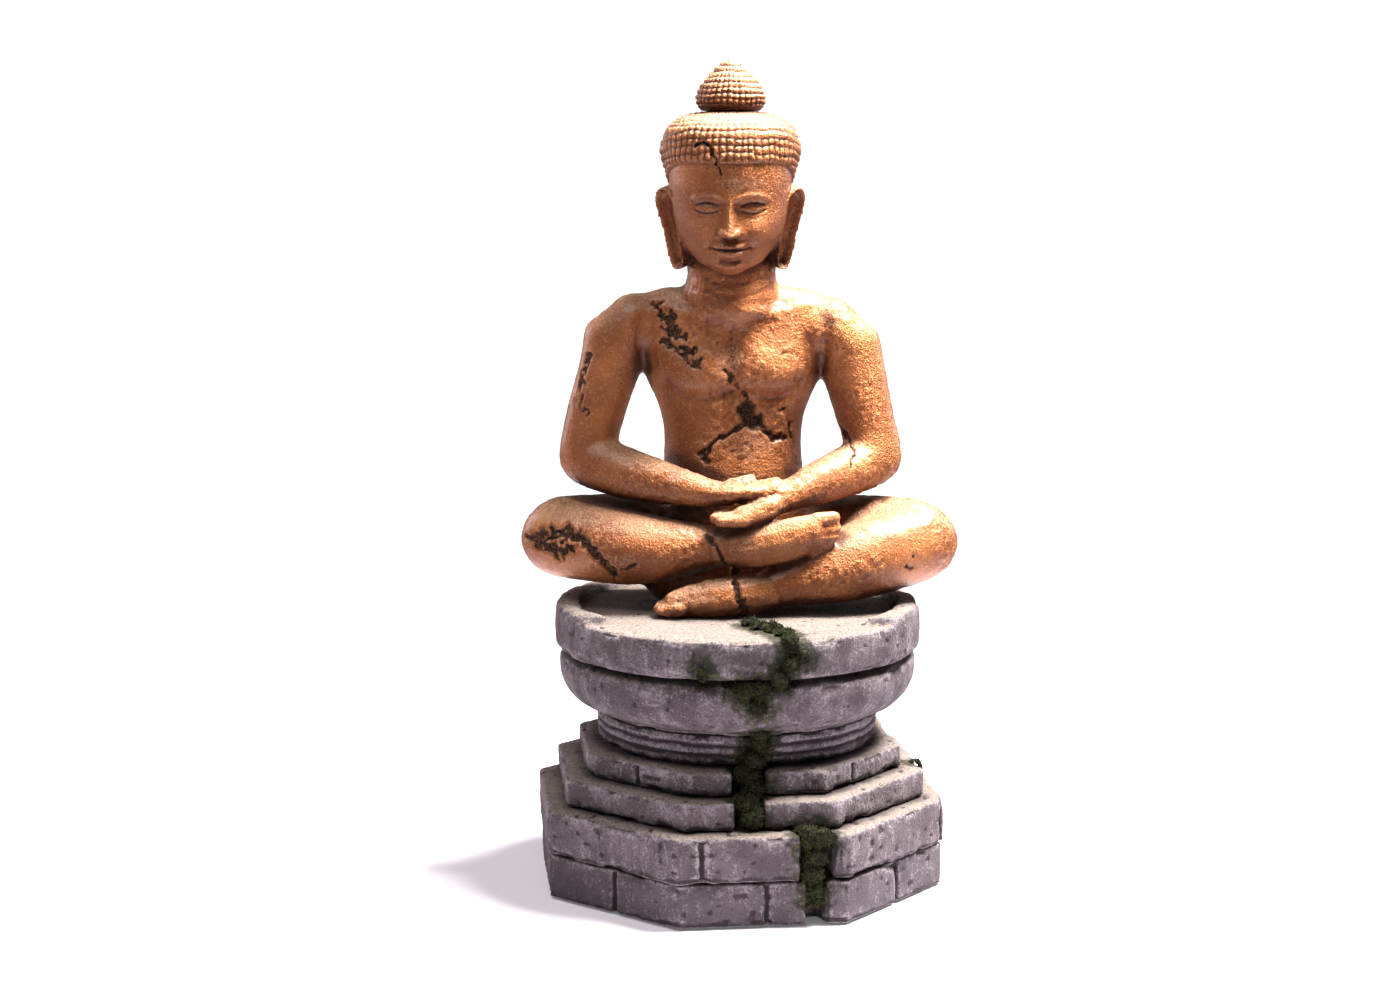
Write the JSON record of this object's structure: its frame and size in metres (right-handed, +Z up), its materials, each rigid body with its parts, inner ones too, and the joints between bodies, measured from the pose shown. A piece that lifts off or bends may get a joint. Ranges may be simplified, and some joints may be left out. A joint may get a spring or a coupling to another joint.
{
  "type": "seated buddha statue on a stepped pedestal",
  "caption": "Seated buddha statue in aged copper-gold finish, hands in lap, on a stepped octagonal and round stone-look pedestal with a mossy crack.",
  "frame": {"origin": "middle of the underside, on the surface that the statue stands on", "axes": "+Z up, the figure faces -Y, the figure's left hand side is +X"},
  "size_m": [0.1275, 0.1218, 0.2412],
  "materials": {
    "stone": "rough pitted cast stone look, grey with pale worn edges",
    "gilt_resin": "hard cast resin under sandy copper-gold metallic paint, worn dark in cracks",
    "moss": "matt dark green flock",
    "steel": "plain bright",
    "rubber": "matt black"
  },
  "bodies": {
    "root": {"bowl_moulding": "stone", "centre_dowel": "steel", "foot_pad_1": "rubber", "foot_pad_2": "rubber", "foot_pad_3": "rubber", "foot_pad_4": "rubber", "head": "gilt_resin", "left_arm": "gilt_resin", "left_foot": "gilt_resin", "left_hand": "gilt_resin", "left_hip_pin": "steel", "left_leg": "gilt_resin", "left_shoulder_pin": "steel", "lower_step": "stone", "moss_bowl": "moss", "moss_plinth": "moss", "moss_right": "moss", "moss_seat": "moss", "moss_slab": "moss", "moss_slab_left": "moss", "moss_steps": "moss", "moss_waist": "moss", "neck_pin": "steel", "plinth_lower_course": "stone", "plinth_upper_course": "stone", "right_arm": "gilt_resin", "right_foot": "gilt_resin", "right_hand": "gilt_resin", "right_hip_pin": "steel", "right_leg": "gilt_resin", "right_shoulder_pin": "steel", "seat_slab": "stone", "topknot": "gilt_resin", "topknot_pin": "steel", "torso": "gilt_resin", "upper_step": "stone", "waist_drum": "stone"}
  },
  "joints": []
}
